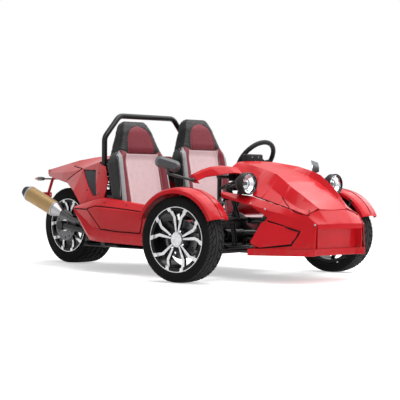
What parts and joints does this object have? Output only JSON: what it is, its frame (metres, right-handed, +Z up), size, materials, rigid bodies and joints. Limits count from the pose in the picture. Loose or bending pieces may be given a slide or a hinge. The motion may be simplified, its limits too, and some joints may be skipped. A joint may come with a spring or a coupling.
{
  "type": "three-wheeled buggy",
  "caption": "Open two-seat three-wheeled roadster with steered front wheels under turning mudguards, wedge nose, roll hoop, bucket seats and one driven rear wheel on a swinging arm.",
  "frame": {"origin": "on the ground under the middle of the overall box", "axes": "+X the way it drives, +Y its left, +Z up"},
  "size_m": [2.892, 1.7204, 1.0749],
  "materials": {
    "red_body": "gloss red paint",
    "black_frame": "gloss black enamel",
    "tyre_rubber": "matt black rubber",
    "cast_wheel": "black with machined face",
    "bright_steel": "brushed",
    "spring_steel": "grey powder coat",
    "black_plastic": "fine grain",
    "vent_mesh": "woven mesh",
    "seat_leather": "black, pink and maroon",
    "bronze_can": "bronze anodised",
    "engine_metal": "dark cast",
    "reflector": "mirror chrome",
    "lamp_glass": "clear",
    "mirror_face": "silvered",
    "red_lens": "red lens",
    "amber_lens": "amber lens"
  },
  "bodies": {
    "chassis": {"dash_panel": "black_plastic", "engine_block": "engine_metal", "exhaust_can": "bronze_can", "exhaust_cap": "black_plastic", "exhaust_cone": "bright_steel", "exhaust_pipe": "bright_steel", "floor_frame": "black_frame", "floor_pan": "black_frame", "front_frame": "black_frame", "front_shocks": "spring_steel", "fuel_tank": "black_plastic", "headlamp_lenses": "lamp_glass", "headlamp_reflectors": "reflector", "headlamp_shells": "black_plastic", "lower_wishbones": "black_frame", "mirror_glasses": "mirror_face", "mirror_shells": "black_plastic", "nose_cheeks": "red_body", "nose_cowl": "red_body", "nose_fascia": "red_body", "nose_insets": "red_body", "pedals": "black_frame", "plate_holder": "red_body", "rear_deck": "red_body", "rear_frame": "black_frame", "rear_quarters": "red_body", "rear_shock": "spring_steel", "roll_hoop": "black_frame", "seat_back_left": "seat_leather", "seat_back_right": "seat_leather", "seat_base_left": "seat_leather", "seat_base_right": "seat_leather", "shoulder_wings": "red_body", "side_pods": "red_body", "splitter": "red_body", "steering_column": "black_frame", "steering_rack": "black_frame", "swingarm": "black_frame", "tail": "red_body", "tail_lamp": "red_lens", "turn_signals": "amber_lens", "upper_wishbones": "black_frame", "vent_meshes": "vent_mesh"},
    "knuckle_right": {"knuckle_right": "black_frame", "mudguard_right": "red_body"},
    "front_wheel_right": {"front_tyre_right": "tyre_rubber", "front_rim_right": "cast_wheel", "front_disc_right": "bright_steel"},
    "tie_rod_right": {"tie_rod_right": "bright_steel"},
    "knuckle_left": {"knuckle_left": "black_frame", "mudguard_left": "red_body"},
    "front_wheel_left": {"front_tyre_left": "tyre_rubber", "front_rim_left": "cast_wheel", "front_disc_left": "bright_steel"},
    "tie_rod_left": {"tie_rod_left": "bright_steel"},
    "rear_wheel": {"rear_tyre": "tyre_rubber", "rear_rim": "cast_wheel", "rear_disc": "bright_steel", "sprocket": "bright_steel"},
    "steering_wheel": {"steering_wheel": "black_plastic"}
  },
  "joints": [
    {"name": "steer_right", "type": "hinge", "parent": "chassis", "child": "knuckle_right", "pos_m": [0.814, -0.663, 0.26], "axis": [0, 0, 1], "range_deg": [-39, 21]},
    {"name": "wheel_right_spin", "type": "hinge", "parent": "knuckle_right", "child": "front_wheel_right", "pos_m": [0.8237, -0.72424, 0.26], "axis": [-0.1564, 0.9877, 0], "continuous": true},
    {"name": "tie_rod_right_pivot", "type": "hinge", "parent": "knuckle_right", "child": "tie_rod_right", "pos_m": [0.69054, -0.68255, 0.272], "axis": [0, 0, 1], "range_deg": [-21, 39]},
    {"name": "steer_left", "type": "hinge", "parent": "chassis", "child": "knuckle_left", "pos_m": [0.814, 0.663, 0.26], "axis": [0, 0, 1], "range_deg": [-39, 21]},
    {"name": "wheel_left_spin", "type": "hinge", "parent": "knuckle_left", "child": "front_wheel_left", "pos_m": [0.8043, 0.72424, 0.26], "axis": [-0.1564, 0.9877, 0], "continuous": true},
    {"name": "tie_rod_left_pivot", "type": "hinge", "parent": "knuckle_left", "child": "tie_rod_left", "pos_m": [0.69054, 0.64345, 0.272], "axis": [0, 0, 1], "range_deg": [-21, 39]},
    {"name": "rear_wheel_spin", "type": "hinge", "parent": "chassis", "child": "rear_wheel", "pos_m": [-1.046, 0, 0.28], "axis": [0, 1, 0], "continuous": true},
    {"name": "steering_wheel_turn", "type": "hinge", "parent": "chassis", "child": "steering_wheel", "pos_m": [0.469, 0.29, 0.754], "axis": [-0.809, 0, 0.5878], "range_deg": [-351, 189]}
  ],
  "couplings": [
    {"joint": "steer_left", "follows": "steer_right", "ratio": 1},
    {"joint": "tie_rod_right_pivot", "follows": "steer_right", "ratio": -1},
    {"joint": "tie_rod_left_pivot", "follows": "steer_right", "ratio": -1},
    {"joint": "steering_wheel_turn", "follows": "steer_right", "ratio": 9}
  ]
}
